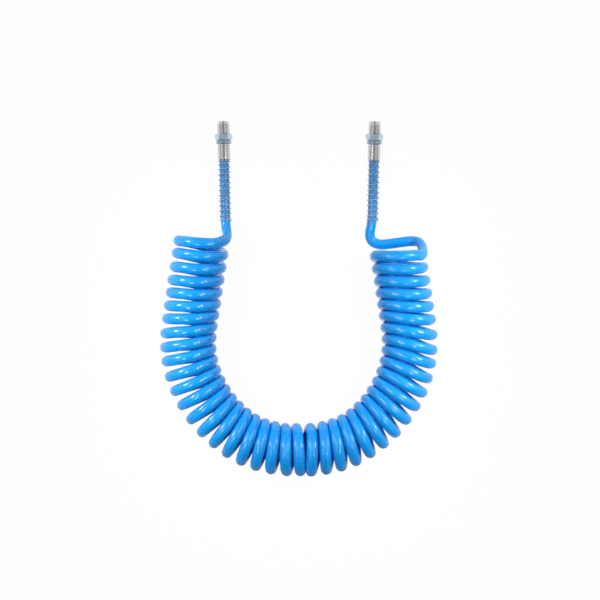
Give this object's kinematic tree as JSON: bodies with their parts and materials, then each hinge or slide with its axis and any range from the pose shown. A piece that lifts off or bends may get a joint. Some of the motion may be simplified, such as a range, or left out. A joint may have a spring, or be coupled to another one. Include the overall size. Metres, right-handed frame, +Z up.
{
  "type": "coiled air hose",
  "caption": "Recoil air hose: a helically wound flexible tube laid in a U, with a wire spring guard, a ferrule and a swivelling male threaded fitting on each end.",
  "frame": {"origin": "on the ground, under the middle of the whole hose as it lies", "axes": "+Y from the bend of the U up its legs to the fittings, +X to the right, +Z up from the ground"},
  "size_m": [0.2728, 0.3493, 0.0559],
  "materials": {
    "blue_polyurethane": "glossy blue polyurethane",
    "plated_brass": "nickel-plated brass",
    "brass": "turned brass",
    "plated_steel": "bright plated steel",
    "spring_steel": "plated spring wire",
    "seal_rubber": "nitrile rubber"
  },
  "bodies": {
    "hose": {"hose_coil": "blue_polyurethane", "hose_lead_left": "blue_polyurethane", "hose_stem_left": "brass", "o_ring_left": "seal_rubber", "ferrule_left": "plated_steel", "spring_guard_left": "spring_steel", "hose_lead_right": "blue_polyurethane", "hose_stem_right": "brass", "o_ring_right": "seal_rubber", "ferrule_right": "plated_steel", "spring_guard_right": "spring_steel"},
    "swivel_left": {"swivel_body_left": "plated_brass", "snap_ring_left": "spring_steel"},
    "swivel_right": {"swivel_body_right": "plated_brass", "snap_ring_right": "spring_steel"}
  },
  "joints": [
    {"name": "swivel_turn_left", "type": "hinge", "parent": "hose", "child": "swivel_left", "pos_m": [-0.07402, 0.16205, 0.00747], "axis": [0.0226, -0.9959, 0.0872], "continuous": true},
    {"name": "swivel_turn_right", "type": "hinge", "parent": "hose", "child": "swivel_right", "pos_m": [0.07402, 0.162, 0.0075], "axis": [-0.0227, -0.9997, 0], "continuous": true}
  ]
}
